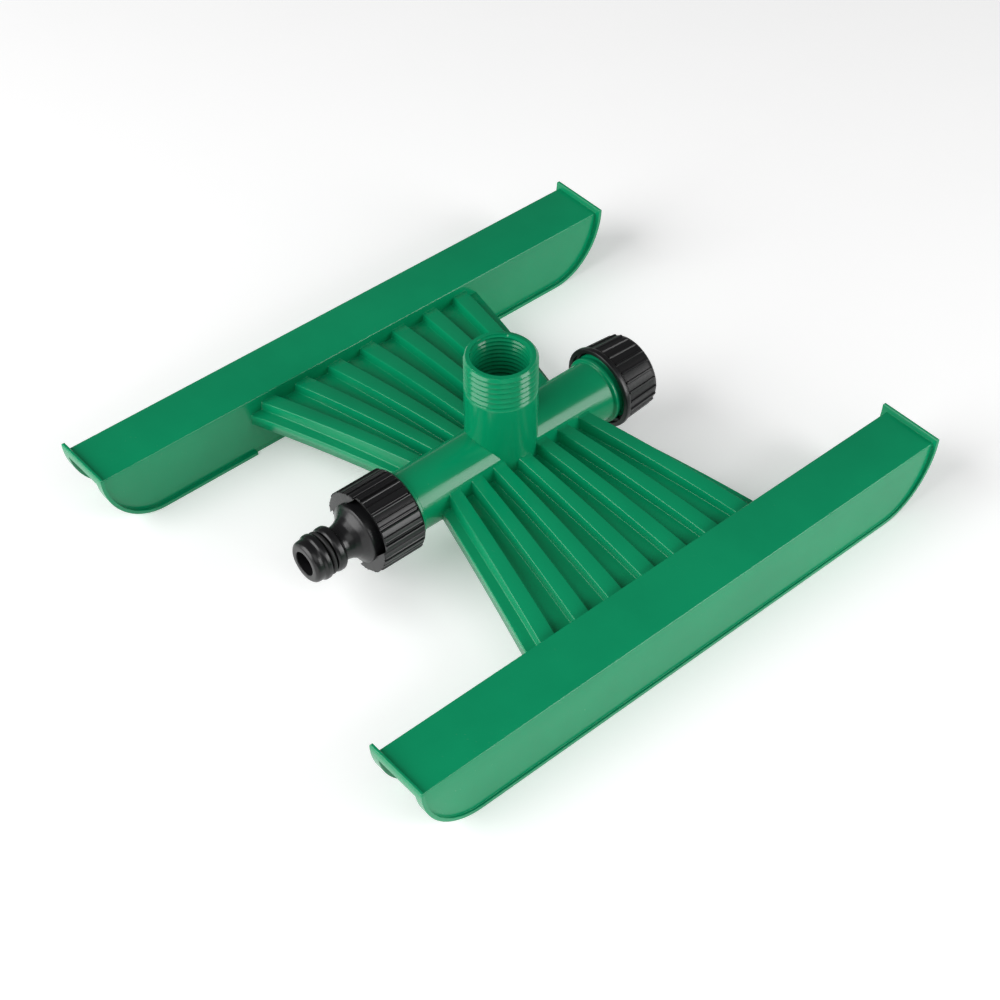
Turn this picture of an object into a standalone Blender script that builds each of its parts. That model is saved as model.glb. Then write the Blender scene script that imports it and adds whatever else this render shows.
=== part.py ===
"""Sled base of a rotary lawn sprinkler, as separate named pieces.

X runs across from the left runner to the right runner, Y runs along the runners
and the water tube, and Z is up.  The origin is on the ground under the middle of
the riser.  All sizes are in metres.
"""
import math

import bmesh
import bpy
from mathutils import Matrix, Vector

GAP = 0.0003                    # air left between pieces that meet

# Runners: inverted U channels that stand on the lawn
RUNNER_INNER_X = 0.0783
RUNNER_OUTER_X = 0.1006
RUNNER_TOP_Z = 0.0259
RUNNER_WALL = 0.0020
END_FLAT_Y = 0.0960             # where the ground line turns up into the end curve
END_CURVE_Y = 0.0245            # length of the end curve along Y
END_CURVE_Z = 0.0282            # height of the end curve, which is the lip's top
RIM_WIDTH = 0.0014              # rim seen square to the wall
RIM_PROUD = 0.0018              # how far the rim stands out of the wall
RIM_GAP_HALF_Y = 0.0547         # the inner wall has no rim across the fan

# Fan webs: ribbed plates between the runners and the tube
RIB_COUNT = 7
FAN_TUBE_X = 0.0128             # where the tube end widths are given
RIB_TOP_WALL_Z = 0.0224
RIB_TOP_TUBE_Z = 0.0304
FAN_ARCH = 0.0009               # how far the middle stands above a straight line
RIB_HEIGHT_WALL = 0.0033
RIB_HEIGHT_TUBE = 0.0053
RIB_FIRST_WALL_Y = -0.0497
RIB_FIRST_TUBE_Y = -0.03325
RIB_WIDTH_WALL = 0.0065
RIB_WIDTH_TUBE = 0.0049
RIB_DRAFT = 0.00025
FAN_HALF_WALL_Y = 0.0549
FAN_HALF_TUBE_Y = 0.0368
FAN_EDGE_DEPTH = 0.0046
FAN_SKIN = 0.0017
FAN_STATIONS = 7
FAN_INSIDE_X = 0.0080           # hidden end, trimmed by the tube

# Water tube, its threaded ends and the riser
AXIS_Z = 0.0258
TUBE_RADIUS = 0.01165
TUBE_BORE = 0.0085
COLLAR_RADIUS = 0.0130
COLLAR_START_Y = 0.0452
COLLAR_END_Y = 0.0468
SPIGOT_RADIUS = 0.0131
SPIGOT_END_Y = 0.0580
RISER_TOP_Z = 0.0696
RISER_THREAD_RADIUS = 0.01322
RISER_ROOT_RADIUS = 0.01215
RISER_FOOT_RADIUS = 0.0139
RISER_FOOT_Z = 0.0160
RISER_RIM_CHAMFER = 0.0009
RISER_MOUTH = 0.0109
RISER_MOUTH_DEPTH = 0.0020
RISER_BORE = 0.0098
THREAD_PITCH = 0.0023
THREAD_CRESTS = 6
THREAD_FIRST_Z = 0.0678

# Screw-on pieces of the two tube ends
SOCKET_RADIUS = 0.01345
SOCKET_MOUTH_RADIUS = 0.0140
SOCKET_MOUTH_DEPTH = 0.0021
SOCKET_OPEN_Y = 0.0473
SOCKET_FLOOR_Y = 0.0606
WASHER_INNER = 0.0087
WASHER_OUTER = 0.0129
NUT_RADIUS = 0.01535
NUT_RIDGE = 0.0006              # how far a ridge stands out
RIDGE_ROOT = 0.0004             # how far its foot is sunk below the surface
NUT_RIDGE_PAIRS = 12
NUT_FRONT_Y = 0.0645
NUT_CHAMFER = 0.0013
NOSE_BORE = 0.0046
POCKET_INNER = 0.0115
POCKET_OUTER = 0.0146
POCKET_DEPTH = 0.0020
POCKET_HALF_WIDTH = 0.0105
POCKET_TURN = math.radians(-40.5)
ORING_Y = 0.0808
ORING_RADIUS = 0.00740
ORING_SECTION = 0.00085
CAP_FLANGE_RADIUS = 0.0161
CAP_FLANGE_WIDTH = 0.0022
CAP_BODY_RADIUS = 0.0152
CAP_END_RADIUS = 0.0142
CAP_END_Y = 0.0648
CAP_ROUND = 0.0012

ROUND_SEGMENTS = 36
SMALL_SEGMENTS = 24
ORING_SIDES = 8
CURVE_STEPS = 10


# ---------------------------------------------------------------- materials

def plastic(name, color, roughness):
    """A moulded plastic or rubber material."""
    material = bpy.data.materials.new(name)
    material.use_nodes = True
    shader = material.node_tree.nodes["Principled BSDF"]
    shader.inputs["Base Color"].default_value = (*color, 1.0)
    shader.inputs["Roughness"].default_value = roughness
    shader.inputs["Metallic"].default_value = 0.0
    material.diffuse_color = (*color, 1.0)
    return material


# ------------------------------------------------------------ mesh helpers

def clear_scene():
    """Remove every object of the start-up scene."""
    for obj in list(bpy.data.objects):
        bpy.data.objects.remove(obj, do_unlink=True)


def make_object(name, bm, material=None, location=(0.0, 0.0, 0.0)):
    """Turn a bmesh into a scene object with outward faces."""
    bmesh.ops.remove_doubles(bm, verts=bm.verts, dist=0.00001)
    bmesh.ops.recalc_face_normals(bm, faces=bm.faces)
    mesh = bpy.data.meshes.new(name)
    bm.to_mesh(mesh)
    bm.free()
    if material:
        mesh.materials.append(material)
    obj = bpy.data.objects.new(name, mesh)
    obj.location = location
    bpy.context.scene.collection.objects.link(obj)
    return obj


def smooth_round_faces(obj):
    """Shade round faces smooth and keep edges over 35 degrees sharp."""
    obj.data.shade_smooth()
    obj.data.set_sharp_from_angle(angle=math.radians(35.0))


def combine(target, tool, operation):
    """Apply an exact Boolean of the tool to the target and remove the tool."""
    modifier = target.modifiers.new("combine", 'BOOLEAN')
    modifier.operation = operation
    modifier.solver = 'EXACT'
    modifier.object = tool
    bpy.context.view_layer.update()
    depsgraph = bpy.context.evaluated_depsgraph_get()
    mesh = bpy.data.meshes.new_from_object(target.evaluated_get(depsgraph))
    target.modifiers.clear()
    target.data = mesh
    bpy.data.objects.remove(tool, do_unlink=True)


def turned(profile, segments, axis):
    """Spin a closed (radius, height) outline round the Y or Z axis."""
    bm = bmesh.new()
    upright = axis == 'Z'
    verts = []
    for radius, height in profile:
        verts.append(bm.verts.new((radius, 0.0, height) if upright else (radius, height, 0.0)))
    edges = [bm.edges.new((verts[i - 1], verts[i])) for i in range(len(verts))]
    bmesh.ops.spin(bm, geom=verts + edges, cent=(0.0, 0.0, 0.0),
                   axis=(0.0, 0.0, 1.0) if upright else (0.0, 1.0, 0.0),
                   angle=math.tau, steps=segments, use_merge=True)
    return bm


def prism(outline, start, end, axis):
    """Extrude a closed outline along X or Y between two stations."""
    bm = bmesh.new()
    along_x = axis == 'X'
    verts = [bm.verts.new((start, a, b) if along_x else (a, start, b)) for a, b in outline]
    face = bm.faces.new(verts)
    moved = bmesh.ops.extrude_face_region(bm, geom=[face])["geom"]
    shift = Vector((end - start, 0.0, 0.0)) if along_x else Vector((0.0, end - start, 0.0))
    bmesh.ops.translate(bm, verts=[v for v in moved if isinstance(v, bmesh.types.BMVert)], vec=shift)
    return bm


def box(low, high):
    """An axis-aligned box between two corners."""
    bm = bmesh.new()
    bmesh.ops.create_cube(bm, size=1.0)
    size = Vector(high) - Vector(low)
    middle = (Vector(high) + Vector(low)) / 2.0
    bmesh.ops.scale(bm, vec=size, verts=bm.verts)
    bmesh.ops.translate(bm, vec=middle, verts=bm.verts)
    return bm


def mix(a, b, share):
    """The value a given share of the way from a to b."""
    return a + (b - a) * share


# ------------------------------------------------------------------ runners

def end_curve(inset, top_z):
    """Quarter ellipse of one runner end, from the ground line up to top_z."""
    reach = END_CURVE_Y - inset
    rise = END_CURVE_Z - inset
    last = math.acos(max(0.0, 1.0 - (top_z - inset) / rise))
    points = []
    for step in range(CURVE_STEPS + 1):
        turn = last * step / CURVE_STEPS
        points.append((END_FLAT_Y + reach * math.sin(turn), inset + rise * (1.0 - math.cos(turn))))
    return points


def sled_line(inset, top_z):
    """Both end curves and the ground line between them, from -Y to +Y."""
    front = end_curve(inset, top_z)
    return [(-y, z) for y, z in reversed(front)] + front


def make_runner(name, side, material):
    """One channel: plate, two walls, rim all round the free edge, a lip at each end."""
    body = make_object(name, prism(sled_line(RIM_WIDTH / 2.0, RUNNER_TOP_Z),
                                   RUNNER_INNER_X, RUNNER_OUTER_X, 'X'), material)
    band = sled_line(0.0, END_CURVE_Z) + list(reversed(sled_line(RIM_WIDTH, END_CURVE_Z)))
    rim = make_object("rim", prism(band, RUNNER_INNER_X - RIM_PROUD, RUNNER_OUTER_X + RIM_PROUD, 'X'))
    combine(body, rim, 'UNION')
    channel = make_object("channel", box(
        (RUNNER_INNER_X + RUNNER_WALL, -0.2, -0.01),
        (RUNNER_OUTER_X - RUNNER_WALL, 0.2, RUNNER_TOP_Z - RUNNER_WALL)))
    combine(body, channel, 'DIFFERENCE')
    rim_gap = make_object("rim_gap", box(
        (RUNNER_INNER_X - 2.0 * RIM_PROUD, -RIM_GAP_HALF_Y, -0.01),
        (RUNNER_INNER_X, RIM_GAP_HALF_Y, 2.0 * RIM_WIDTH)))
    combine(body, rim_gap, 'DIFFERENCE')
    if side < 0:
        body.data.transform(Matrix.Scale(-1.0, 4, (1.0, 0.0, 0.0)))
        body.data.flip_normals()
    smooth_round_faces(body)
    return body


# --------------------------------------------------------------------- fans

def fan_section(share):
    """Closed outline of the ribbed plate at a share of the way from runner to tube."""
    rib_top = mix(RIB_TOP_WALL_Z, RIB_TOP_TUBE_Z, share) + 4.0 * FAN_ARCH * share * (1.0 - share)
    floor = rib_top - mix(RIB_HEIGHT_WALL, RIB_HEIGHT_TUBE, share)
    half = mix(FAN_HALF_WALL_Y, FAN_HALF_TUBE_Y, share)
    first = mix(RIB_FIRST_WALL_Y, RIB_FIRST_TUBE_Y, share)
    width = mix(RIB_WIDTH_WALL, RIB_WIDTH_TUBE, share)
    pitch = -(2.0 * first + width) / (RIB_COUNT - 1)
    upper = [(-half, floor)]
    lower = [(-half, floor - FAN_EDGE_DEPTH), (-half + FAN_SKIN, floor - FAN_EDGE_DEPTH),
             (-half + FAN_SKIN, floor - FAN_SKIN)]
    for rib in range(RIB_COUNT):
        left = first + pitch * rib
        right = left + width
        upper += [(left - RIB_DRAFT, floor), (left, rib_top), (right, rib_top), (right + RIB_DRAFT, floor)]
        lower += [(left - RIB_DRAFT + FAN_SKIN, floor - FAN_SKIN), (left + FAN_SKIN, rib_top - FAN_SKIN),
                  (right - FAN_SKIN, rib_top - FAN_SKIN), (right + RIB_DRAFT - FAN_SKIN, floor - FAN_SKIN)]
    upper.append((half, floor))
    lower += [(half - FAN_SKIN, floor - FAN_SKIN), (half - FAN_SKIN, floor - FAN_EDGE_DEPTH),
              (half, floor - FAN_EDGE_DEPTH)]
    return upper + list(reversed(lower))


def make_fan(name, side, material):
    """One ribbed fan, lofted through its sections and trimmed by the tube and riser."""
    bm = bmesh.new()
    start = RUNNER_INNER_X - GAP
    loops = []
    for station in range(FAN_STATIONS):
        x = mix(start, FAN_INSIDE_X, station / (FAN_STATIONS - 1))
        share = (RUNNER_INNER_X - x) / (RUNNER_INNER_X - FAN_TUBE_X)
        loops.append([bm.verts.new((side * x, y, z)) for y, z in fan_section(share)])
    for near, far in zip(loops, loops[1:]):
        for i in range(len(near)):
            bm.faces.new((near[i - 1], near[i], far[i], far[i - 1]))
    bm.faces.new(loops[0])
    bm.faces.new(loops[-1])
    fan = make_object(name, bm, material)
    tube_room = turned_rod("tube_room", TUBE_RADIUS + GAP, -0.09, 0.09, 'Y')
    tube_room.location.z = AXIS_Z
    combine(fan, tube_room, 'DIFFERENCE')
    riser_room = turned_rod("riser_room", RISER_FOOT_RADIUS + GAP, 0.0, 0.09, 'Z')
    combine(fan, riser_room, 'DIFFERENCE')
    smooth_round_faces(fan)
    return fan


# -------------------------------------------------------- tube and riser

def turned_rod(name, radius, start, end, axis):
    """A plain closed rod used to add to or cut from another piece."""
    bm = turned([(0.0, start), (radius, start), (radius, end), (0.0, end)], ROUND_SEGMENTS, axis)
    return make_object(name, bm)


def tube_outline():
    """Outer profile of the water tube with a collar and a spigot at each end."""
    half = [(SPIGOT_RADIUS - 0.0008, SPIGOT_END_Y), (SPIGOT_RADIUS, SPIGOT_END_Y - 0.0008),
            (SPIGOT_RADIUS, COLLAR_END_Y), (COLLAR_RADIUS, COLLAR_END_Y), (COLLAR_RADIUS, COLLAR_START_Y),
            (TUBE_RADIUS, COLLAR_START_Y - 0.0008)]
    outer = [(r, -y) for r, y in half] + list(reversed(half))
    return [(0.0, -SPIGOT_END_Y)] + outer + [(0.0, SPIGOT_END_Y)]


def riser_outline():
    """Outer profile of the riser, foot to rim, with the thread as level ridges."""
    profile = [(0.0, RISER_FOOT_Z), (RISER_FOOT_RADIUS, RISER_FOOT_Z), (RISER_FOOT_RADIUS, AXIS_Z)]
    quarter = THREAD_PITCH / 4.0
    lowest = THREAD_FIRST_Z - THREAD_PITCH * (THREAD_CRESTS - 1)
    profile.append((RISER_THREAD_RADIUS, lowest - 2.2 * quarter))
    for crest in range(THREAD_CRESTS):
        middle = lowest + THREAD_PITCH * crest
        profile.append((RISER_ROOT_RADIUS, middle - 1.4 * quarter))
        profile.append((RISER_THREAD_RADIUS, middle - 0.5 * quarter))
        profile.append((RISER_THREAD_RADIUS, middle + 0.5 * quarter))
        profile.append((RISER_ROOT_RADIUS, middle + 1.4 * quarter))
    profile.append((RISER_THREAD_RADIUS - RISER_RIM_CHAMFER, RISER_TOP_Z))
    profile.append((0.0, RISER_TOP_Z))
    return profile


def make_manifold(name, material):
    """Water tube and riser in one piece, bored through."""
    body = make_object(name, turned(tube_outline(), ROUND_SEGMENTS, 'Y'), material)
    body.location.z = AXIS_Z
    riser = make_object("riser", turned(riser_outline(), ROUND_SEGMENTS, 'Z'))
    combine(body, riser, 'UNION')
    bore = turned_rod("bore", TUBE_BORE, -0.09, 0.09, 'Y')
    bore.location.z = AXIS_Z
    combine(body, bore, 'DIFFERENCE')
    mouth = [(0.0, AXIS_Z), (RISER_BORE, AXIS_Z), (RISER_BORE, RISER_TOP_Z - RISER_MOUTH_DEPTH),
             (RISER_MOUTH, RISER_TOP_Z - RISER_MOUTH_DEPTH), (RISER_MOUTH, RISER_TOP_Z + 0.01),
             (0.0, RISER_TOP_Z + 0.01)]
    well = make_object("well", turned(mouth, ROUND_SEGMENTS, 'Z'))
    combine(body, well, 'DIFFERENCE')
    smooth_round_faces(body)
    return body


# ---------------------------------------------------------- screw-on pieces

def washer(name, side, material):
    """Flat sealing ring held in the bottom of a socket."""
    thickness = SOCKET_FLOOR_Y - SPIGOT_END_Y - 2.0 * GAP
    profile = [(WASHER_INNER, 0.0), (WASHER_OUTER, 0.0), (WASHER_OUTER, side * thickness),
               (WASHER_INNER, side * thickness)]
    place = (0.0, side * (SPIGOT_END_Y + GAP), AXIS_Z)
    ring = make_object(name, turned(profile, SMALL_SEGMENTS, 'Y'), material, place)
    smooth_round_faces(ring)
    return ring


def ridge_tool(start, end, radius):
    """Star-shaped rod whose ridges make the grip of a nut or cap."""
    outline = []
    ridge_angles = (-9.0, -8.0, -4.5, -3.5, 3.5, 4.5, 8.0, 9.0)
    heights = (-RIDGE_ROOT, NUT_RIDGE, NUT_RIDGE, -RIDGE_ROOT) * 2
    for pair in range(NUT_RIDGE_PAIRS):
        middle = 360.0 / NUT_RIDGE_PAIRS * pair
        for angle, height in zip(ridge_angles, heights):
            turn = math.radians(middle + angle)
            outline.append(((radius + height) * math.cos(turn), (radius + height) * math.sin(turn)))
    return make_object("ridges", prism(outline, start, end, 'Y'))


def make_connector(name, material):
    """Nut with a quick-connect nose: it screws on the inlet end, nose towards -Y."""
    place = (0.0, -SOCKET_OPEN_Y, AXIS_Z)
    nose = [(NOSE_BORE, 0.0885), (0.0067, 0.0885), (0.0078, 0.0877), (0.00795, 0.0866), (0.00795, 0.0853),
            (0.00865, 0.0845), (0.00865, 0.0825), (0.0080, 0.0821), (0.0064, 0.0821), (0.0064, 0.0795),
            (0.0080, 0.0795), (0.0085, 0.0790), (0.0085, 0.0764), (0.0078, 0.0757), (0.0065, 0.0750),
            (0.0065, 0.0732), (0.0070, 0.0714), (0.0082, 0.0693), (0.0102, 0.0677), (0.0113, 0.0671),
            (0.0113, NUT_FRONT_Y), (NUT_RADIUS + NUT_RIDGE - NUT_CHAMFER, NUT_FRONT_Y)]
    nut = [(NUT_RADIUS, NUT_FRONT_Y - NUT_CHAMFER), (NUT_RADIUS, SOCKET_OPEN_Y + NUT_CHAMFER),
           (NUT_RADIUS + NUT_RIDGE - NUT_CHAMFER, SOCKET_OPEN_Y), (SOCKET_MOUTH_RADIUS, SOCKET_OPEN_Y),
           (SOCKET_MOUTH_RADIUS, SOCKET_OPEN_Y + SOCKET_MOUTH_DEPTH),
           (SOCKET_RADIUS, SOCKET_OPEN_Y + SOCKET_MOUTH_DEPTH), (SOCKET_RADIUS, SOCKET_FLOOR_Y),
           (NOSE_BORE, SOCKET_FLOOR_Y)]
    profile = [(radius, SOCKET_OPEN_Y - y) for radius, y in nose + nut]
    body = make_object(name, turned(profile, ROUND_SEGMENTS, 'Y'), material, place)
    grip = ridge_tool(SOCKET_OPEN_Y - (NUT_FRONT_Y - NUT_CHAMFER), -NUT_CHAMFER, NUT_RADIUS)
    hole = turned_rod("hole", SOCKET_RADIUS + 0.0006, -0.05, 0.05, 'Y')
    combine(grip, hole, 'DIFFERENCE')
    grip.location = place
    combine(body, grip, 'UNION')
    pocket = [(POCKET_INNER, -NUT_FRONT_Y - 0.002), (POCKET_OUTER, -NUT_FRONT_Y - 0.002),
              (POCKET_OUTER, -NUT_FRONT_Y + POCKET_DEPTH), (POCKET_INNER, -NUT_FRONT_Y + POCKET_DEPTH)]
    ring = make_object("ring", turned(pocket, ROUND_SEGMENTS, 'Y'))
    slab_mesh = box((-POCKET_HALF_WIDTH, -0.09, -0.03), (POCKET_HALF_WIDTH, -0.05, 0.03))
    bmesh.ops.rotate(slab_mesh, cent=(0.0, 0.0, 0.0), matrix=Matrix.Rotation(-POCKET_TURN, 3, 'Y'),
                     verts=slab_mesh.verts)
    slab = make_object("slab", slab_mesh)
    combine(ring, slab, 'INTERSECT')
    ring.location.z = AXIS_Z
    combine(body, ring, 'DIFFERENCE')
    smooth_round_faces(body)
    return body


def make_o_ring(name, material):
    """Sealing ring in the groove of the nose."""
    profile = []
    for side in range(ORING_SIDES):
        turn = math.tau * side / ORING_SIDES
        profile.append((ORING_RADIUS + ORING_SECTION * math.cos(turn), ORING_SECTION * math.sin(turn)))
    ring = make_object(name, turned(profile, SMALL_SEGMENTS, 'Y'), material, (0.0, -ORING_Y, AXIS_Z))
    smooth_round_faces(ring)
    return ring


def make_end_cap(name, material):
    """Blind cap with a flange and a ridged grip: it screws on the far end."""
    place = (0.0, SOCKET_OPEN_Y, AXIS_Z)
    profile = [(0.0, CAP_END_Y), (CAP_END_RADIUS - CAP_ROUND, CAP_END_Y), (CAP_END_RADIUS, CAP_END_Y - CAP_ROUND),
               (CAP_BODY_RADIUS, SOCKET_OPEN_Y + CAP_FLANGE_WIDTH + 0.0006),
               (CAP_FLANGE_RADIUS, SOCKET_OPEN_Y + CAP_FLANGE_WIDTH),
               (CAP_FLANGE_RADIUS, SOCKET_OPEN_Y + 0.0005), (CAP_FLANGE_RADIUS - 0.0005, SOCKET_OPEN_Y),
               (SOCKET_MOUTH_RADIUS, SOCKET_OPEN_Y), (SOCKET_MOUTH_RADIUS, SOCKET_OPEN_Y + SOCKET_MOUTH_DEPTH),
               (SOCKET_RADIUS, SOCKET_OPEN_Y + SOCKET_MOUTH_DEPTH), (SOCKET_RADIUS, SOCKET_FLOOR_Y),
               (0.0, SOCKET_FLOOR_Y)]
    profile = [(radius, y - SOCKET_OPEN_Y) for radius, y in profile]
    body = make_object(name, turned(profile, ROUND_SEGMENTS, 'Y'), material, place)
    grip = ridge_tool(CAP_FLANGE_WIDTH - 0.0005, CAP_END_Y - SOCKET_OPEN_Y - CAP_ROUND - 0.0015,
                      CAP_END_RADIUS + RIDGE_ROOT / 2.0)
    hole = turned_rod("hole", SOCKET_RADIUS + 0.0006, -0.05, 0.05, 'Y')
    combine(grip, hole, 'DIFFERENCE')
    grip.location = place
    combine(body, grip, 'UNION')
    smooth_round_faces(body)
    return body


# ------------------------------------------------------------------ assembly

def main():
    """Build every piece of the sprinkler base."""
    clear_scene()
    green = {name: plastic(name + "_green", (0.010, 0.290, 0.125), 0.28)
             for name in ("left_runner", "right_runner", "left_fan_web", "right_fan_web", "manifold")}
    make_runner("left_runner", -1, green["left_runner"])
    make_runner("right_runner", 1, green["right_runner"])
    make_fan("left_fan_web", -1, green["left_fan_web"])
    make_fan("right_fan_web", 1, green["right_fan_web"])
    make_manifold("manifold", green["manifold"])
    make_connector("inlet_connector", plastic("connector_black", (0.018, 0.018, 0.021), 0.38))
    make_o_ring("connector_o_ring", plastic("o_ring_rubber", (0.012, 0.012, 0.012), 0.5))
    washer("inlet_washer", -1, plastic("inlet_washer_rubber", (0.03, 0.03, 0.03), 0.6))
    make_end_cap("end_cap", plastic("cap_black", (0.018, 0.018, 0.021), 0.38))
    washer("end_cap_washer", 1, plastic("cap_washer_rubber", (0.03, 0.03, 0.03), 0.6))


main()
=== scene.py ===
# %% [markdown]
# # A lawn sprinkler's sled base
# The base stands on the grass on two runners and carries water through a cross tube to a threaded riser.
# The solid model of it is already packed, with its joints.  This lesson gives that model its finished
# surfaces, piece by piece, and never moves or resizes what the solids say.

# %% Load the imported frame
import math

import bmesh
import bpy
from mathutils import Matrix, Vector


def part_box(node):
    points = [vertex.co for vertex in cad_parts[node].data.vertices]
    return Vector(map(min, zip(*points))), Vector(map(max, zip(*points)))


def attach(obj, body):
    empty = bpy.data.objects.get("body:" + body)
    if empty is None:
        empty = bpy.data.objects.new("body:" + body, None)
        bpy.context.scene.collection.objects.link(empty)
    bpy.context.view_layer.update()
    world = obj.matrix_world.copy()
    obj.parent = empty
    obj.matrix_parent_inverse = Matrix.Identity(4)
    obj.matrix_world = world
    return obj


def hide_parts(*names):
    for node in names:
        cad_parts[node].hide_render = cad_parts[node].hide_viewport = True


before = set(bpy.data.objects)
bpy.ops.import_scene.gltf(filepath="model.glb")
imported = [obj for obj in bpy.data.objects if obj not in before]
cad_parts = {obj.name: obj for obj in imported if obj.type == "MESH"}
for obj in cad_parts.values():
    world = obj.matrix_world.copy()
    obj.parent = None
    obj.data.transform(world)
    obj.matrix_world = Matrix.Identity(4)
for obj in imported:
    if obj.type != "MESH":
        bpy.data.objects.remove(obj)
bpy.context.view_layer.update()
MM = 0.001

# %% [markdown]
# ## Small helpers
# Every piece starts as a bmesh and becomes an object at the origin, with its place in its mesh.
# Round faces are shaded smooth and real corners stay sharp.  A Boolean with the exact solver joins or cuts
# solids that were made by different operators, which is how a mould is designed too.

# %% Turn a bmesh into a piece


def piece(name, bm, sharp=35.0):
    """A finished object from a bmesh, faces outwards, corners over `sharp` degrees kept."""
    bmesh.ops.remove_doubles(bm, verts=bm.verts, dist=0.002 * MM)
    bmesh.ops.recalc_face_normals(bm, faces=bm.faces)
    mesh = bpy.data.meshes.new(name)
    bm.to_mesh(mesh)
    bm.free()
    mesh.shade_smooth()
    mesh.set_sharp_from_angle(angle=math.radians(sharp))
    obj = bpy.data.objects.new(name, mesh)
    bpy.context.scene.collection.objects.link(obj)
    return obj


def combine(target, tool, operation, sharp=35.0):
    """Join or cut with the exact solver, apply it, and drop the tool."""
    modifier = target.modifiers.new("combine", 'BOOLEAN')
    modifier.operation = operation
    modifier.solver = 'EXACT'
    modifier.object = tool
    bpy.context.view_layer.update()
    shape = target.evaluated_get(bpy.context.evaluated_depsgraph_get())
    target.data = bpy.data.meshes.new_from_object(shape)
    target.modifiers.clear()
    target.data.shade_smooth()
    target.data.set_sharp_from_angle(angle=math.radians(sharp))
    bpy.data.objects.remove(tool, do_unlink=True)


def soften(obj, width, segments=2, limit=40.0):
    """Round every real corner a little, as a mould does."""
    bevel = obj.modifiers.new("soft_edges", 'BEVEL')
    bevel.width = width
    bevel.segments = segments
    bevel.limit_method = 'ANGLE'
    bevel.angle_limit = math.radians(limit)
    bevel.harden_normals = True


def move(bm, offset, turn=None):
    """Turn a bmesh round the origin and then shift it."""
    if turn:
        bmesh.ops.rotate(bm, cent=(0, 0, 0), matrix=turn, verts=bm.verts)
    bmesh.ops.translate(bm, vec=offset, verts=bm.verts)
    return bm


def mix(a, b, share):
    """The value a given share of the way from a to b."""
    return a + (b - a) * share


def smooth_step(low, high, value):
    """0 below low, 1 above high, and a smooth rise between."""
    t = min(1.0, max(0.0, (value - low) / (high - low)))
    return t * t * (3.0 - 2.0 * t)


def finish_piece(obj, material, body, *nodes, slot="green_plastic"):
    """Give a piece its material and body, and hide the nodes it stands for; the slot argument is not used.
    """
    obj.data.materials.clear()
    obj.data.materials.append(material)
    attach(obj, body)
    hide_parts(*nodes)
    print(obj.name, "has", len(obj.data.polygons), "faces")


# %% [markdown]
# ## Round corners on an outline
# Moulded parts have no knife edges.  Each corner of an outline is swapped for a short arc before the
# outline is spun or swept, so the highlight on the edge comes from the shape itself.

# %% Rounded outlines


def rounded(points, radius, steps=3, closed=False):
    """The same outline with every corner replaced by an arc of about the radius."""
    result = []
    count = len(points)
    for i, point in enumerate(points):
        here = Vector(point)
        if not closed and i in (0, count - 1):
            result.append(here)
            continue
        back = Vector(points[i - 1]) - here
        ahead = Vector(points[(i + 1) % count]) - here
        reach = min(radius, 0.45 * back.length, 0.45 * ahead.length)
        start = here + back.normalized() * reach
        end = here + ahead.normalized() * reach
        for step in range(steps + 1):
            t = step / steps
            result.append((1 - t) ** 2 * start + 2 * t * (1 - t) * here + t ** 2 * end)
    return result


def lathe(outline, steps, closed=True):
    """Spin a (radius, height) outline round Z, in metres."""
    bm = bmesh.new()
    verts = [bm.verts.new((max(r, 0.0), 0.0, h)) for r, h in outline]
    pairs = list(zip(verts, verts[1:])) + ([(verts[-1], verts[0])] if closed else [])
    edges = [bm.edges.new(pair) for pair in pairs]
    bmesh.ops.spin(bm, geom=verts + edges, cent=(0, 0, 0), axis=(0, 0, 1), angle=math.tau,
                   steps=steps, use_merge=True)
    bmesh.ops.remove_doubles(bm, verts=bm.verts, dist=0.002 * MM)
    return bm


# %% [markdown]
# ## Shader groups shared by the plastics
# Injection-moulded plastic is never perfectly even.  One group makes the faint orange-peel skin that breaks
# up reflections, and a second one makes the handling marks and dust that sit on it.  Both read Object
# coordinates, so they stay put when a piece turns on its joint.

# %% Moulded skin and handling marks


def new_group(name, inputs, outputs):
    """An empty node group with float inputs and outputs."""
    group = bpy.data.node_groups.new(name, 'ShaderNodeTree')
    for label, value in inputs:
        socket = group.interface.new_socket(label, in_out='INPUT', socket_type='NodeSocketFloat')
        socket.default_value = value
    for label in outputs:
        group.interface.new_socket(label, in_out='OUTPUT', socket_type='NodeSocketFloat')
    return group, group.nodes.new('NodeGroupInput'), group.nodes.new('NodeGroupOutput')


def noise(tree, vector, scale, detail, roughness=0.5):
    """A noise texture node on the given coordinates."""
    node = tree.nodes.new('ShaderNodeTexNoise')
    node.inputs["Detail"].default_value = detail
    node.inputs["Roughness"].default_value = roughness
    tree.links.new(vector, node.inputs["Vector"])
    if isinstance(scale, (int, float)):
        node.inputs["Scale"].default_value = scale
    else:
        tree.links.new(scale, node.inputs["Scale"])
    return node


def ramp(tree, value, low, high, out_low=0.0, out_high=1.0):
    """Map a value range onto another, clamped and smooth."""
    node = tree.nodes.new('ShaderNodeMapRange')
    node.interpolation_type = 'SMOOTHSTEP'
    node.inputs["From Min"].default_value = low
    node.inputs["From Max"].default_value = high
    node.inputs["To Min"].default_value = out_low
    node.inputs["To Max"].default_value = out_high
    tree.links.new(value, node.inputs["Value"])
    return node.outputs["Result"]


def math_node(tree, operation, a, b):
    """A math node of two sockets or numbers."""
    node = tree.nodes.new('ShaderNodeMath')
    node.operation = operation
    for socket, value in zip(node.inputs, (a, b)):
        if isinstance(value, (int, float)):
            socket.default_value = value
        else:
            tree.links.new(value, socket)
    return node.outputs[0]


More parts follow.
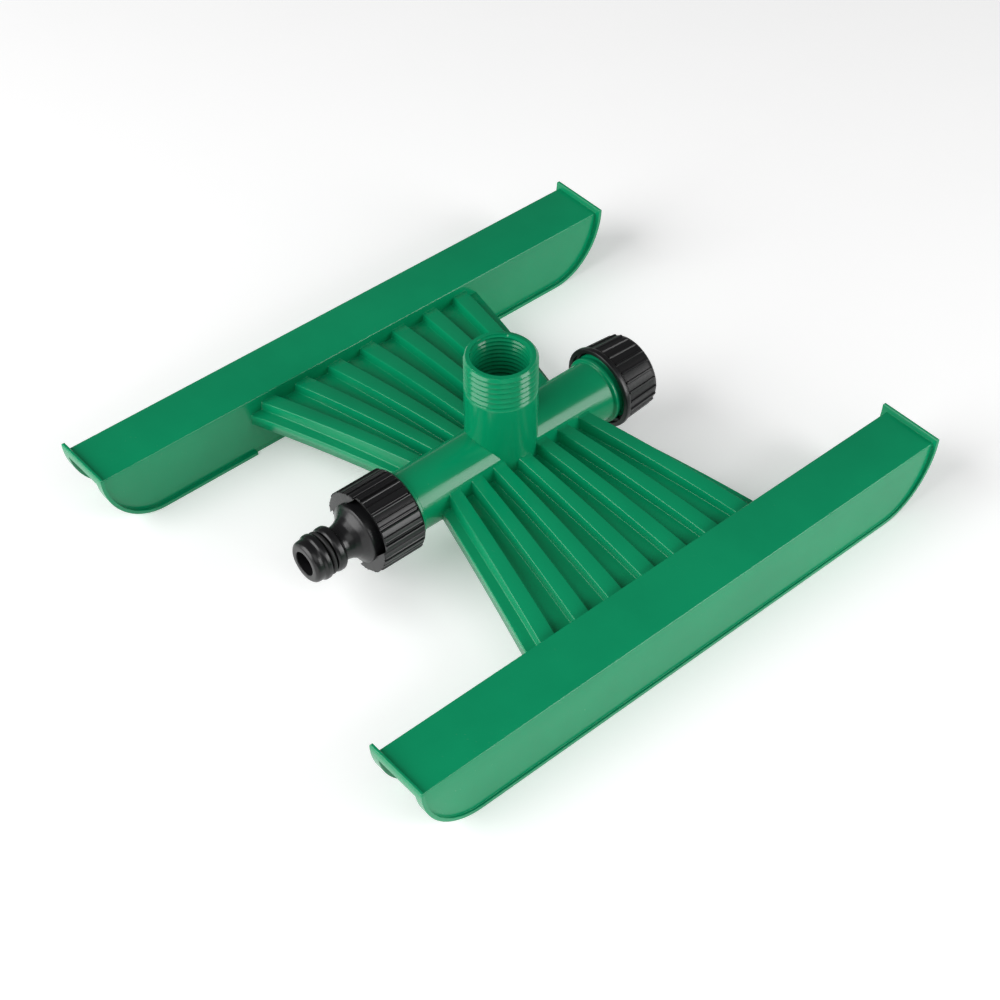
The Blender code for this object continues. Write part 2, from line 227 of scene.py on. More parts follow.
def build_skin():
    """Group: height of the orange-peel skin and a slow flow pattern."""
    group, source, sink = new_group("moulded_skin", [("Peel Scale", 420.0), ("Grain Scale", 2600.0)],
                                    ["Height", "Flow"])
    coords = group.nodes.new('ShaderNodeTexCoord').outputs["Object"]
    peel = noise(group, coords, source.outputs["Peel Scale"], 2.0)
    grain = noise(group, coords, source.outputs["Grain Scale"], 3.0, 0.6)
    height = math_node(group, 'ADD', peel.outputs["Fac"],
                       math_node(group, 'MULTIPLY', grain.outputs["Fac"], 0.35))
    flow = noise(group, coords, 22.0, 4.0, 0.55)
    group.links.new(height, sink.inputs["Height"])
    group.links.new(ramp(group, flow.outputs["Fac"], 0.3, 0.7), sink.inputs["Flow"])
    return group


def build_marks():
    """Group: fine scratches and specks of dust, each as a mask."""
    group, source, sink = new_group("handling_marks", [("Scratch Scale", 60.0), ("Dust Scale", 900.0)],
                                    ["Scratches", "Dust"])
    coords = group.nodes.new('ShaderNodeTexCoord').outputs["Object"]
    stretch = group.nodes.new('ShaderNodeMapping')
    stretch.inputs["Rotation"].default_value = (0.3, 0.2, 0.6)
    stretch.inputs["Scale"].default_value = (1.0, 14.0, 9.0)
    group.links.new(coords, stretch.inputs["Vector"])
    scratch = noise(group, stretch.outputs["Vector"], source.outputs["Scratch Scale"], 5.0, 0.7)
    dust = noise(group, coords, source.outputs["Dust Scale"], 1.0)
    patch = noise(group, coords, 45.0, 2.0)
    specks = math_node(group, 'MULTIPLY', ramp(group, dust.outputs["Fac"], 0.70, 0.78),
                       ramp(group, patch.outputs["Fac"], 0.45, 0.7))
    group.links.new(ramp(group, scratch.outputs["Fac"], 0.60, 0.70), sink.inputs["Scratches"])
    group.links.new(specks, sink.inputs["Dust"])
    return group


SKIN = build_skin()
MARKS = build_marks()
print("groups:", SKIN.name, MARKS.name)

# %% [markdown]
# ## The plastics and the rubber
# The base is a glossy emerald green, slightly deeper where the melt flowed slowly.  The nut and the cap are
# a black plastic with a satin skin, and the seals are dull black rubber.  The colour, the roughness and
# the bump all vary a little over the surface.

# %% Materials
PEEL_SCALE = 420.0
DUST_COLOUR = (0.42, 0.46, 0.43, 1.0)
SCRATCH_ROUGHNESS = 0.05
PEEL_DEPTH = 0.02 * MM
GREEN_SPECULAR = 0.38
PLASTIC_IOR = 1.49


def moulded(name, deep, light, rough_low, rough_high, bump, peel=PEEL_SCALE, dust=0.03):
    """A Principled material whose colour, roughness and bump come from the shared groups."""
    material = bpy.data.materials.new(name)
    material.use_nodes = True
    tree = material.node_tree
    shader = tree.nodes["Principled BSDF"]
    skin = tree.nodes.new('ShaderNodeGroup')
    skin.node_tree = SKIN
    skin.inputs["Peel Scale"].default_value = peel
    marks = tree.nodes.new('ShaderNodeGroup')
    marks.node_tree = MARKS
    tint = tree.nodes.new('ShaderNodeMix')
    tint.data_type = 'RGBA'
    tint.inputs[6].default_value = (*deep, 1.0)
    tint.inputs[7].default_value = (*light, 1.0)
    tree.links.new(skin.outputs["Flow"], tint.inputs[0])
    dusty = tree.nodes.new('ShaderNodeMix')
    dusty.data_type = 'RGBA'
    dusty.inputs[7].default_value = DUST_COLOUR
    tree.links.new(tint.outputs[2], dusty.inputs[6])
    tree.links.new(math_node(tree, 'MULTIPLY', marks.outputs["Dust"], dust), dusty.inputs[0])
    tree.links.new(dusty.outputs[2], shader.inputs["Base Color"])
    worn = ramp(tree, skin.outputs["Flow"], 0.0, 1.0, rough_low, rough_high)
    scratched = math_node(tree, 'MULTIPLY', marks.outputs["Scratches"], SCRATCH_ROUGHNESS)
    tree.links.new(math_node(tree, 'ADD', worn, scratched), shader.inputs["Roughness"])
    relief = tree.nodes.new('ShaderNodeBump')
    relief.inputs["Strength"].default_value = bump
    relief.inputs["Distance"].default_value = PEEL_DEPTH
    tree.links.new(skin.outputs["Height"], relief.inputs["Height"])
    tree.links.new(relief.outputs["Normal"], shader.inputs["Normal"])
    shader.inputs["IOR"].default_value = PLASTIC_IOR
    return material


green = moulded("green_gloss_plastic", (0.0010, 0.250, 0.105), (0.0020, 0.285, 0.120), 0.17, 0.23, 0.16)
green.node_tree.nodes["Principled BSDF"].inputs["Specular IOR Level"].default_value = GREEN_SPECULAR
black = moulded("black_satin_plastic", (0.0060, 0.0060, 0.0066), (0.0090, 0.0090, 0.0098), 0.26, 0.34, 0.35,
                peel=900.0, dust=0.04)
rubber = moulded("seal_rubber", (0.010, 0.010, 0.010), (0.016, 0.016, 0.016), 0.50, 0.62, 0.8,
                 peel=1500.0, dust=0.12)
print("materials:", green.name, black.name, rubber.name)

# %% [markdown]
# ## Runners
# Each runner is an upside-down channel: a flat plate with two side walls, like the ski of a sled.  A rim
# runs along the free edge, up the curved ends, and crosses the plate as a low lip.  The block, the rim and
# the channel are drawn as the same side outline, swept across, and then joined and cut.

# %% Runner sizes and side outline
GREEN_BOX_LOW, GREEN_BOX_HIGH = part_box("right_runner")
RIM_WIDTH = 1.4 * MM
RIM_REACH_IN = 2.1 * MM
RIM_REACH_OUT = 1.5 * MM
RUNNER_IN = GREEN_BOX_LOW.x + RIM_REACH_IN
RUNNER_OUT = GREEN_BOX_HIGH.x - RIM_REACH_OUT
RUNNER_DRAFT = 0.7 * MM
LIP_TOP = GREEN_BOX_HIGH.z
PLATE_TOP = LIP_TOP - 2.3 * MM
SHOULDER_ROUND = 0.6 * MM
LIP_ROUND = 0.5 * MM
EDGE_ROUND = 0.32 * MM
CLEAR = 0.01
END_REACH = 24.5 * MM
FLAT_END = GREEN_BOX_HIGH.y - END_REACH
WALL = 2.0 * MM
FAN_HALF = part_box("right_fan_web")[1].y


def end_curve(inset, top, steps=20):
    """Quarter ellipse of a runner end, from the ground line up to a height."""
    rise = LIP_TOP - inset
    last = math.acos(max(0.0, 1.0 - (top - inset) / rise))
    reach = END_REACH - inset
    turns = [last * step / steps for step in range(steps + 1)]
    return [(FLAT_END + reach * math.sin(t), inset + rise * (1.0 - math.cos(t))) for t in turns]


def sled_line(inset, top):
    """Ground line with a curve at both ends, as (y, z) points."""
    front = end_curve(inset, top)
    return [(-y, z) for y, z in reversed(front)] + front


def swept(outline, start, end):
    """A closed (y, z) outline swept along X."""
    bm = bmesh.new()
    face = bm.faces.new([bm.verts.new((start, y, z)) for y, z in outline])
    moved = bmesh.ops.extrude_face_region(bm, geom=[face])["geom"]
    far = [v for v in moved if isinstance(v, bmesh.types.BMVert)]
    bmesh.ops.translate(bm, vec=(end - start, 0, 0), verts=far)
    return bm


def block(low, high):
    """A box between two corners, used as a cutter."""
    bm = bmesh.new()
    bmesh.ops.create_cube(bm, size=1.0)
    bmesh.ops.scale(bm, vec=Vector(high) - Vector(low), verts=bm.verts)
    return move(bm, (Vector(high) + Vector(low)) / 2.0)


def round_edges(bm, chosen, radius, segments):
    """Bevel the edges that the test picks."""
    edges = [e for e in bm.edges if chosen(*(v.co for v in e.verts))]
    bmesh.ops.bevel(bm, geom=edges, offset=radius, offset_type='OFFSET', segments=segments, profile=0.5,
                    affect='EDGES', material=-1)


def make_runner(name, side):
    """One runner with rounded shoulders, rim and lips, and side walls that lean out towards the ground."""
    body_mesh = swept(sled_line(RIM_WIDTH / 2, PLATE_TOP), RUNNER_IN, RUNNER_OUT)
    round_edges(body_mesh, lambda a, b: min(a.z, b.z) > PLATE_TOP - 0.01 * MM and abs(a.x - b.x) < MM,
                SHOULDER_ROUND, 4)
    middle = (RUNNER_IN + RUNNER_OUT) / 2.0
    spread = RUNNER_DRAFT / (RUNNER_OUT - middle)
    for vert in body_mesh.verts:
        vert.co.x += (vert.co.x - middle) * spread * (1.0 - vert.co.z / PLATE_TOP)
    body = piece(name, body_mesh)
    band = sled_line(0.0, LIP_TOP) + list(reversed(sled_line(RIM_WIDTH, LIP_TOP)))
    rim_mesh = swept(band, GREEN_BOX_LOW.x, GREEN_BOX_HIGH.x)
    round_edges(rim_mesh, lambda a, b: min(a.z, b.z) > LIP_TOP - 0.01 * MM, LIP_ROUND, 4)
    combine(body, piece("rim", rim_mesh), 'UNION')
    channel = block((RUNNER_IN + WALL, -0.2, -CLEAR), (RUNNER_OUT - WALL, 0.2, PLATE_TOP - WALL))
    combine(body, piece("channel", channel), 'DIFFERENCE')
    rim_gap = block((RUNNER_IN - CLEAR, -FAN_HALF, -CLEAR),
                    (RUNNER_IN - RUNNER_DRAFT, FAN_HALF, 2 * RIM_WIDTH))
    combine(body, piece("rim_gap", rim_gap), 'DIFFERENCE')
    if side < 0:
        body.data.transform(Matrix.Scale(-1.0, 4, (1.0, 0.0, 0.0)))
        body.data.flip_normals()
    soften(body, EDGE_ROUND)
    return body


for word, side in (("left", -1), ("right", 1)):
    finish_piece(make_runner(word + "_runner_shell", side), green, "base", word + "_runner")

# %% [markdown]
# ## Ribbed fans
# Each fan is a thin sheet pressed into seven flat-topped ribs, which spread from the tube to the runner.
# A flat grid is the easiest start: each row of points is bent to the rib outline at its distance from the
# runner, and the sheet gets its wall from a Solidify modifier.  Near the runner and the tube the outline
# swells by a small arc, which is the fillet that a mould leaves there.

# %% Fan sizes and section
TUBE_Z = 25.8 * MM
TUBE_R = 11.65 * MM
FOOT_R = 13.9 * MM
RIBS = 7
FAN_NEAR = RUNNER_IN
FAN_FAR = 12.8 * MM
FAN_STATIONS = 56
FILLET_WALL = 0.35 * MM
FILLET_TUBE = 0.40 * MM
FAN_SHEET = 1.6 * MM
FAN_EDGE_DROP = 4.6 * MM
FAN_CORNER = 0.45 * MM
RIB_DRAFT = 0.3 * MM


def fan_line(share):
    """Upper outline of a fan across Y, from one hanging edge to the other."""
    top = mix(22.4 * MM, 30.4 * MM, share) + 3.6 * MM * share * (1.0 - share)
    floor = top - mix(3.3 * MM, 5.3 * MM, share)
    half = mix(54.9 * MM, 36.8 * MM, share)
    first = mix(-49.7 * MM, -33.25 * MM, share)
    width = mix(6.5 * MM, 4.9 * MM, share)
    pitch = -(2.0 * first + width) / (RIBS - 1)
    line = [(-half, floor - FAN_EDGE_DROP), (-half, floor)]
    for rib in range(RIBS):
        left = first + pitch * rib
        right = left + width
        line += [(left - RIB_DRAFT, floor), (left, top), (right, top), (right + RIB_DRAFT, floor)]
    line += [(half, floor), (half, floor - FAN_EDGE_DROP)]
    return rounded(line, FAN_CORNER)


def swell(points, amount_at):
    """Push each point of an outline outwards by the amount found for it."""
    result = []
    for i, point in enumerate(points):
        along = (points[min(i + 1, len(points) - 1)] - points[max(i - 1, 0)]).normalized()
        result.append(point + Vector((-along.y, along.x)) * amount_at(point))
    return result


def fillet(distance, radius):
    """How far a surface swells at a distance from the wall it runs into."""
    gap = radius - min(max(distance, 0.0), radius)
    return radius - math.sqrt(radius * radius - gap * gap)


def fan_stations():
    """Distances of the rows from the middle plane, closer together at both ends."""
    outer = FAN_NEAR + 1.2 * MM
    inner = 9.5 * MM
    shares = [0.5 - 0.5 * math.cos(math.pi * i / (FAN_STATIONS - 1)) for i in range(FAN_STATIONS)]
    return [mix(outer, inner, share) for share in shares]


def make_fan(name, side):
    """One ribbed sheet, swelled at both ends and given its wall thickness."""
    stations = fan_stations()
    columns = len(fan_line(0.0))
    bm = bmesh.new()
    bmesh.ops.create_grid(bm, x_segments=FAN_STATIONS - 1, y_segments=columns - 1, size=1.0)
    lines = []
    for x in stations:
        share = (FAN_NEAR - x) / (FAN_NEAR - FAN_FAR)

        def amount(point, x=x):
            to_tube = math.hypot(x, point.y - TUBE_Z) - TUBE_R
            to_foot = math.hypot(x, point.x) - FOOT_R
            return max(fillet(FAN_NEAR - x, FILLET_WALL), fillet(min(to_tube, to_foot), FILLET_TUBE))

        lines.append(swell(fan_line(share), amount))
    for vert in bm.verts:
        row = round((vert.co.x + 1.0) / 2.0 * (FAN_STATIONS - 1))
        column = round((vert.co.y + 1.0) / 2.0 * (columns - 1))
        y, z = lines[row][column]
        vert.co = (side * stations[row], y, z)
    bmesh.ops.recalc_face_normals(bm, faces=bm.faces)
    if sum(face.normal.z * face.calc_area() for face in bm.faces) < 0:
        bmesh.ops.reverse_faces(bm, faces=bm.faces)
    mesh = bpy.data.meshes.new(name)
    bm.to_mesh(mesh)
    bm.free()
    mesh.shade_smooth()
    mesh.set_sharp_from_angle(angle=math.radians(50.0))
    fan = bpy.data.objects.new(name, mesh)
    bpy.context.scene.collection.objects.link(fan)
    wall = fan.modifiers.new("wall", 'SOLIDIFY')
    wall.thickness = FAN_SHEET
    wall.offset = -1.0
    return fan


for word, side in (("left", -1), ("right", 1)):
    finish_piece(make_fan(word + "_ribbed_fan", side), green, "base", word + "_fan_web")

# %% [markdown]
# ## Threads
# A screw thread is a spin that also climbs: one full turn with a shift of one pitch along the axis, so the
# end of the profile meets its own start one ridge higher.  Every row of points then follows the helix, and
# the crest is a clean line.  The two ends are cut flat and closed, and a height rule fades the ridge out.

# %% Helical rod
THREAD_ROWS = ((0.0, 1.0), (0.13, 0.94), (0.37, 0.06), (0.5, 0.0), (0.63, 0.06), (0.87, 0.94))


def thread_height(phase):
    """Height of the ridge, from 0 at the root to 1 at the crest."""
    nearest = min(THREAD_ROWS, key=lambda row: min(abs(phase - row[0]), 1.0 - abs(phase - row[0])))
    return nearest[1]


def helical_rod(low, high, pitch, crest_at, radius_at, steps=112):
    """A closed rod round Z; radius_at(height, ridge) gives the radius of each point."""
    bm = bmesh.new()
    first = math.floor((low - crest_at) / pitch) - 2
    last = math.ceil((high - crest_at) / pitch) + 2
    heights = [crest_at + pitch * (turn + phase) for turn in range(first, last) for phase, _ in THREAD_ROWS]
    verts = [bm.verts.new((10 * MM, 0.0, height)) for height in heights]
    edges = [bm.edges.new(pair) for pair in zip(verts, verts[1:])]
    bmesh.ops.spin(bm, geom=verts + edges, cent=(0, 0, 0), axis=(0, 0, 1), angle=math.tau,
                   dvec=(0, 0, pitch / steps), steps=steps, use_merge=False)
    bmesh.ops.remove_doubles(bm, verts=bm.verts, dist=0.01 * MM)
    for height, up in ((low, -1.0), (high, 1.0)):
        bmesh.ops.bisect_plane(bm, geom=bm.verts[:] + bm.edges[:] + bm.faces[:], dist=0.0001 * MM,
                               plane_co=(0, 0, height), plane_no=(0, 0, up), clear_outer=True)
    for vert in bm.verts:
        turn = (math.atan2(vert.co.y, vert.co.x) / math.tau) % 1.0
        phase = ((vert.co.z - crest_at) / pitch - turn) % 1.0
        radius = radius_at(vert.co.z, thread_height(phase))
        vert.co.xy = vert.co.xy.normalized() * radius
    rims = [edge for edge in bm.edges if edge.is_boundary]
    bmesh.ops.holes_fill(bm, edges=rims, sides=0)
    return bm


# %% [markdown]
# ## Water tube and riser
# The tube, its collars, the threaded ends and the riser are one moulding, so their solids are joined.
# The bores are cut after that: a plain one along the tube and a threaded well down the riser.

# %% Manifold sizes and solids
RISER_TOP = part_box("manifold")[1].z
TUBE_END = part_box("manifold")[1].y
CREST_R = 13.22 * MM
HOSE_PITCH = 2.3 * MM
WELL_PITCH = 1.814 * MM
THREAD_BOTTOM = 55.4 * MM
FOOT_Z = 16.0 * MM
FIRST_CREST = RISER_TOP - 1.49 * MM
COLLAR_R = 13.0 * MM
COLLAR_END = 46.8 * MM
NECK_R = 12.2 * MM
NECK_END = 48.7 * MM
TUBE_BORE = 8.5 * MM
WELL_MOUTH = 11.0 * MM
WELL_R = 10.15 * MM
WELL_THREAD = 0.65 * MM
SPIGOT_R = 13.1 * MM
THREAD_DEPTH = 0.95 * MM
TURN_TO_Y = Matrix.Rotation(math.radians(-90.0), 3, 'X')
TURN_TO_MINUS_Y = Matrix.Rotation(math.radians(90.0), 3, 'X')


def riser_radius(height, ridge):
    """Thread at the top with a bevelled lead-in, plain and slightly swelling below."""
    plain = CREST_R + (FOOT_R - CREST_R) * (1.0 - smooth_step(30 * MM, 54 * MM, height))
    depth = THREAD_DEPTH * smooth_step(THREAD_BOTTOM - 1.2 * MM, THREAD_BOTTOM + 1.0 * MM, height)
    lead_in = CREST_R - max(0.0, height - (RISER_TOP - 1.0 * MM)) * 0.8
    return min(plain - depth * (1.0 - ridge), lead_in)


def well_radius(height, ridge):
    """Cutter for the riser's inside: plain mouth, then the female thread."""
    depth = WELL_THREAD * smooth_step(28 * MM, 40 * MM, height)
    return WELL_MOUTH if height > RISER_TOP - 0.7 * MM else WELL_R + depth * ridge


def spigot_radius(height, ridge):
    """Threaded end of the tube, with a lead-in at its tip and a plain neck at the collar."""
    neck = NECK_R if height < NECK_END else SPIGOT_R
    lead_in = SPIGOT_R - max(0.0, height - (TUBE_END - 1.2 * MM)) * 0.9
    return min(SPIGOT_R - THREAD_DEPTH * (1.0 - ridge), lead_in, neck)


def tube_outline():
    """Half outline of the tube with its collar, mirrored to both ends."""
    half = [(TUBE_R, 0.0), (TUBE_R, 44.9 * MM), (COLLAR_R, 45.2 * MM), (COLLAR_R, COLLAR_END),
            (11.0 * MM, COLLAR_END)]
    arc = rounded(half, 0.3 * MM)[1:]
    return [(r, -h) for r, h in reversed(arc)] + [(r, h) for r, h in arc]


def make_manifold():
    """Tube, spigots and riser joined, then bored."""
    tube = lathe([(0.0, -COLLAR_END)] + tube_outline() + [(0.0, COLLAR_END)], 96, closed=False)
    body = piece("manifold_body", move(tube, (0, 0, TUBE_Z), TURN_TO_Y))
    for turn in (TURN_TO_Y, TURN_TO_MINUS_Y):
        spigot = helical_rod(45.6 * MM, TUBE_END, HOSE_PITCH, 50.0 * MM, spigot_radius)
        combine(body, piece("spigot", move(spigot, (0, 0, TUBE_Z), turn)), 'UNION')
    riser = helical_rod(FOOT_Z, RISER_TOP, HOSE_PITCH, FIRST_CREST, riser_radius)
    combine(body, piece("riser", riser), 'UNION')
    bore = lathe([(0, -0.07), (TUBE_BORE, -0.07), (TUBE_BORE, 0.07), (0, 0.07)], 96, closed=False)
    combine(body, piece("bore", move(bore, (0, 0, TUBE_Z), TURN_TO_Y)), 'DIFFERENCE')
    well = helical_rod(TUBE_Z, RISER_TOP + 5 * MM, WELL_PITCH, 0.0, well_radius)
    combine(body, piece("well", well), 'DIFFERENCE', sharp=48.0)
    return body


finish_piece(make_manifold(), green, "base", "manifold")

# %% [markdown]
# ## Inlet connector
# The nut screws on the inlet, and the nose clicks into a hose connector.  The grip is cut as shallow
# grooves and bars round the nut, so the nut is spun with many steps and each point's radius follows a rule
# of its angle.  The front face is a ring-shaped pocket between two raised pads.

# %% Grip rules
NUT_R = 15.65 * MM


def near(angle, first, pitch):
    """Distance in degrees from an angle to the nearest one of an even set."""
    return abs((angle - first + pitch / 2.0) % pitch - pitch / 2.0)


def nut_grip(angle):
    """Deep grooves between two bars, and a fine line half-way to the next."""
    deep = near(angle, 38.5, 22.5)
    fine = near(angle, 27.25, 22.5)
    height = 0.32 * MM * (smooth_step(1.4, 2.0, deep) - smooth_step(3.0, 3.8, deep))
    height -= 0.62 * MM * (1.0 - smooth_step(1.1, 1.7, deep))
    return height - 0.45 * MM * (1.0 - smooth_step(0.6, 1.3, fine))


def cap_grip(angle):
    """Narrow bars standing on flat panels."""
    bar = near(angle, 21.2, 15.0)
    return 0.55 * MM * (1.0 - smooth_step(1.2, 2.0, bar))


def grip(bm, low, high, least, rule):
    """Move the outer points between two heights by the grip rule, measured round +Y."""
    for vert in bm.verts:
        radius = vert.co.xy.length
        if low < vert.co.z < high and radius > least:
            angle = math.degrees(math.atan2(vert.co.y, vert.co.x))
            vert.co.xy = vert.co.xy * ((radius + rule(angle)) / radius)
    return bm


# %% Nut, nose and pads
NUT_BACK = 47.3 * MM
NUT_FRONT = 64.5 * MM
SOCKET_FLOOR = 60.6 * MM
SOCKET_MOUTH = 14.4 * MM
PAD_FRONT = 65.8 * MM
POCKET_FLOOR = NUT_FRONT - 2.2 * MM
POCKET_IN = 9.0 * MM
POCKET_OUT = 14.6 * MM
BEYOND = 20.0 * MM
THREAD_AT = 50.0 * MM
NOSE_TIP = -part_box("inlet_connector")[0].y
NOSE_BORE = 4.6 * MM
GRIP_STEPS = 480
PAD_TURN = math.radians(-40.5)
PAD_EDGE = 10.5 * MM


def socket_radius(height, ridge):
    """Cutter for a nut or cap: a wide mouth, then the female thread."""
    if height < NUT_BACK + 1.8 * MM:
        return SOCKET_MOUTH
    return 13.45 * MM + 0.45 * MM * ridge * smooth_step(48.0 * MM, 50.5 * MM, height)


def make_nut():
    """The grip ring with its threaded socket, the pocket in its front face and the pads beside it."""
    outline = [(SOCKET_MOUTH, NUT_BACK), (15.0 * MM, NUT_BACK), (NUT_R, NUT_BACK + 0.9 * MM),
               (NUT_R, PAD_FRONT - 0.3 * MM), (15.45 * MM, PAD_FRONT), (0.0, PAD_FRONT)]
    shell = rounded(outline, 0.25 * MM, 2)
    nut = lathe([(0.0, NUT_BACK)] + shell, GRIP_STEPS, closed=False)
    grip(nut, NUT_BACK + 0.8 * MM, PAD_FRONT + 0.1 * MM, 15.3 * MM, nut_grip)
    body = piece("inlet_nut", move(nut, (0, 0, TUBE_Z), TURN_TO_MINUS_Y), 30.0)
    socket = helical_rod(NUT_BACK - 5 * MM, SOCKET_FLOOR, HOSE_PITCH, THREAD_AT, socket_radius)
    combine(body, piece("socket", move(socket, (0, 0, TUBE_Z), TURN_TO_MINUS_Y)), 'DIFFERENCE', 30.0)
    recess = lathe([(0.0, NUT_FRONT), (POCKET_IN, NUT_FRONT), (POCKET_IN, POCKET_FLOOR),
                    (POCKET_OUT - 0.3 * MM, POCKET_FLOOR), (POCKET_OUT, NUT_FRONT), (BEYOND, NUT_FRONT),
                    (BEYOND, 70.0 * MM), (0.0, 70.0 * MM)], 192, closed=False)
    pocket = piece("pocket", move(recess, (0, 0, TUBE_Z), TURN_TO_MINUS_Y))
    slab = block((-PAD_EDGE, -0.09, -0.03), (PAD_EDGE, -0.05, 0.03))
    slab_piece = piece("slab", move(slab, (0, 0, TUBE_Z), Matrix.Rotation(-PAD_TURN, 3, 'Y')))
    combine(pocket, slab_piece, 'INTERSECT')
    combine(body, pocket, 'DIFFERENCE', 30.0)
    return body


def nose_outline():
    """Outer profile of the quick-connect nose, from the flare to the tip and back down the bore."""
    rings = [(11.3, 62.0), (11.3, 67.1), (10.2, 67.7), (8.2, 69.3), (7.0, 71.4), (6.5, 73.2), (6.5, 75.2),
             (7.8, 75.7), (8.5, 76.6), (8.5, 78.6), (7.9, 79.5), (6.6, 79.5), (6.6, 82.1), (8.1, 82.1),
             (8.65, 82.6), (8.65, 84.2), (7.95, 85.1), (7.95, 86.6), (7.7, 87.7), (6.7, 88.5)]
    shape = [(r * MM, y * MM) for r, y in rings]
    return rounded(shape + [(NOSE_BORE, NOSE_TIP), (NOSE_BORE, 62.0 * MM)], 0.4 * MM, 4, closed=True)


def make_connector():
    """Nut and nose as one moulded piece."""
    body = make_nut()
    nose = piece("nose", move(lathe(nose_outline(), 128), (0, 0, TUBE_Z), TURN_TO_MINUS_Y))
    combine(body, nose, 'UNION', 30.0)
    hole = lathe([(0, 55 * MM), (NOSE_BORE, 55 * MM), (NOSE_BORE, 70 * MM), (0, 70 * MM)], 128, closed=False)
    combine(body, piece("hole", move(hole, (0, 0, TUBE_Z), TURN_TO_MINUS_Y)), 'DIFFERENCE', 30.0)
    body.name = "quick_connect_inlet"
    return body


finish_piece(make_connector(), black, "connector_body", "inlet_connector", slot="black_plastic")

# %% [markdown]
# ## Blind end cap
# The cap closes the far end.  It has a flange at its mouth, narrow grip bars round its side and a flat,
# round-edged end, and it is cut with the same female thread as the nut.

# %% End cap
CAP_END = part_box("end_cap")[1].y
FLANGE_R = 16.1 * MM
FLANGE_END = 49.4 * MM
END_DISH = 0.5 * MM


def make_cap():
    """The cap, spun, gripped and threaded."""
    outline = [(SOCKET_MOUTH, NUT_BACK), (FLANGE_R, NUT_BACK), (FLANGE_R, FLANGE_END),
               (15.0 * MM, 50.0 * MM), (14.1 * MM, 63.4 * MM), (13.6 * MM, CAP_END), (12.2 * MM, CAP_END),
               (11.8 * MM, CAP_END - END_DISH), (0.0, CAP_END - END_DISH)]
    shell = lathe([(0.0, NUT_BACK)] + rounded(outline, 0.6 * MM, 4), GRIP_STEPS, closed=False)
    grip(shell, 50.2 * MM, 63.8 * MM, 13.7 * MM, lambda angle: cap_grip(-angle))
    body = piece("blind_end_cap", move(shell, (0, 0, TUBE_Z), TURN_TO_Y), 30.0)
    socket = helical_rod(NUT_BACK - 5 * MM, SOCKET_FLOOR, HOSE_PITCH, THREAD_AT, socket_radius)
    combine(body, piece("socket", move(socket, (0, 0, TUBE_Z), TURN_TO_Y)), 'DIFFERENCE', 30.0)
    return body


finish_piece(make_cap(), black, "cap_body", "end_cap", slot="black_plastic")

# %% [markdown]
# ## Seals
# A flat washer sits at the bottom of each socket, and an O-ring fills the groove of the nose.

# %% Washers and O-ring
SEAL_IN = 8.7 * MM
SEAL_OUT = 12.9 * MM


def make_washer(name, node, turn):
    """A flat rubber ring with softened edges, where its node is."""
    low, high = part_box(node)
    near_face, far_face = sorted((abs(low.y), abs(high.y)))
    corners = [(SEAL_IN, near_face), (SEAL_OUT, near_face), (SEAL_OUT, far_face), (SEAL_IN, far_face)]
    ring = rounded(corners, 0.35 * MM, 4, closed=True)
    return piece(name, move(lathe(ring, 96), (0, 0, TUBE_Z), turn), 60.0)


def make_o_ring():
    """A round rubber ring."""
    low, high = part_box("connector_o_ring")
    thick = (high.y - low.y) / 2.0
    middle = -(high.y + low.y) / 2.0
    radius = high.x - thick
    circle = [(radius + thick * math.cos(math.tau * i / 16), middle + thick * math.sin(math.tau * i / 16))
              for i in range(16)]
    return piece("nose_o_ring", move(lathe(circle, 96), (0, 0, TUBE_Z), TURN_TO_MINUS_Y), 60.0)


finish_piece(make_washer("inlet_seal", "inlet_washer", TURN_TO_MINUS_Y), rubber, "inlet_washer_body",
             "inlet_washer", slot="seal_rubber")
finish_piece(make_washer("cap_seal", "end_cap_washer", TURN_TO_Y), rubber, "cap_washer_body",
             "end_cap_washer", slot="seal_rubber")
finish_piece(make_o_ring(), rubber, "connector_body", "connector_o_ring", slot="seal_rubber")

# %% [markdown]
# ## Floor, light and camera
# A plain pale floor and a few large soft lights are all that a glossy plastic needs: what shows on it is
# the lights' own shape.  The one at the back right draws the long highlight along the water tube.  The
# floor glows a little, so shadows on it stay pale.  The camera looks down at 45 degrees from the front
# right.

# %% Stage


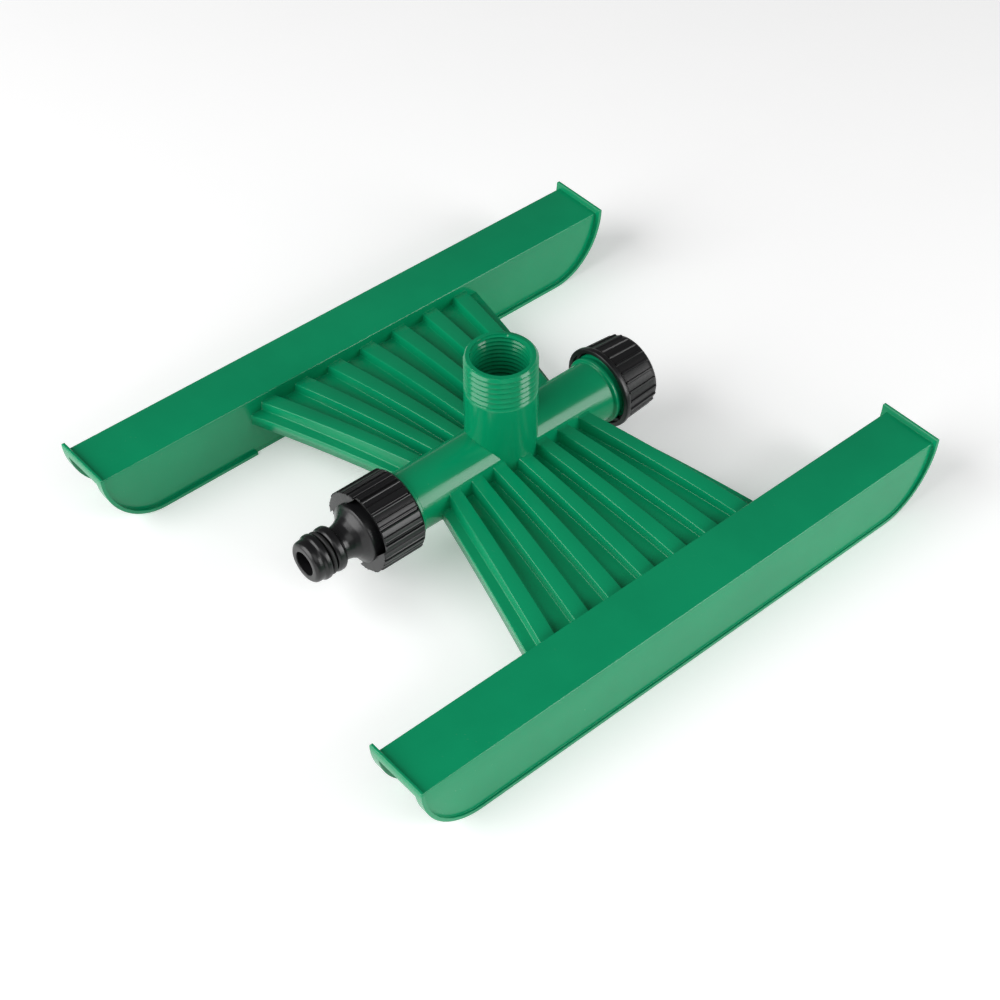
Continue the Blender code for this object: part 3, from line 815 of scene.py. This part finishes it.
def make_floor():
    """A wide pale floor just under the rims."""
    bm = bmesh.new()
    bmesh.ops.create_grid(bm, x_segments=1, y_segments=1, size=6.0)
    floor = piece("floor", bm)
    material = bpy.data.materials.new("pale_floor")
    material.use_nodes = True
    tree = material.node_tree
    shader = tree.nodes["Principled BSDF"]
    coords = tree.nodes.new('ShaderNodeTexCoord').outputs["Object"]
    grain = noise(tree, coords, 30.0, 3.0)
    tree.links.new(ramp(tree, grain.outputs["Fac"], 0.3, 0.7, 0.75, 0.85), shader.inputs["Roughness"])
    shader.inputs["Base Color"].default_value = (0.93, 0.93, 0.93, 1.0)
    shader.inputs["Emission Color"].default_value = (1.0, 1.0, 1.0, 1.0)
    shader.inputs["Emission Strength"].default_value = 0.28
    shader.inputs["Specular IOR Level"].default_value = 0.2
    floor.data.materials.append(material)


def soft_light(name, place, target, size, power):
    """A large square area light that faces a point."""
    data = bpy.data.lights.new(name, 'AREA')
    data.shape = 'RECTANGLE'
    data.size, data.size_y = size
    data.energy = power
    light = bpy.data.objects.new(name, data)
    light.location = place
    light.rotation_euler = (Vector(target) - Vector(place)).to_track_quat('-Z', 'Y').to_euler()
    bpy.context.scene.collection.objects.link(light)


make_floor()
MIDDLE = (0.0, 0.0, 0.02)
soft_light("left_front", (-0.35, -1.05, 0.65), MIDDLE, (1.2, 1.2), 19.0)
soft_light("right_back", (1.00, 0.56, 0.42), MIDDLE, (0.55, 0.75), 8.0)
soft_light("right_side", (0.85, -0.30, 1.05), MIDDLE, (1.0, 1.0), 3.5)
world = bpy.data.worlds.new("studio")
bpy.context.scene.world = world
world.use_nodes = True
sky = world.node_tree.nodes["Background"]
sky.inputs["Color"].default_value = (1.0, 1.0, 1.0, 1.0)
sky.inputs["Strength"].default_value = 0.11
bpy.context.scene.view_settings.view_transform = 'Standard'

# %% Camera
AZIMUTH = math.radians(49.19)
ELEVATION = math.radians(45.45)
DISTANCE = 724.4 * MM
AIM = Vector((0.0, 0.0, 20.0 * MM))
SHIFT_RIGHT = 0.33 * MM
SHIFT_UP = 15.39 * MM
level = math.cos(ELEVATION)
back = Vector((math.sin(AZIMUTH) * level, -math.cos(AZIMUTH) * level, math.sin(ELEVATION)))
right = Vector((math.cos(AZIMUTH), math.sin(AZIMUTH), 0.0))
up = back.cross(right)
camera_data = bpy.data.cameras.new("camera")
camera_data.sensor_width = 36.0
camera_data.lens = 71.9
camera = bpy.data.objects.new("camera", camera_data)
camera.location = AIM + DISTANCE * back - SHIFT_RIGHT * right - SHIFT_UP * up
camera.rotation_euler = Matrix((right, up, back)).transposed().to_euler()
bpy.context.scene.collection.objects.link(camera)
bpy.context.scene.camera = camera
print("camera at:", [round(v, 3) for v in camera.location])
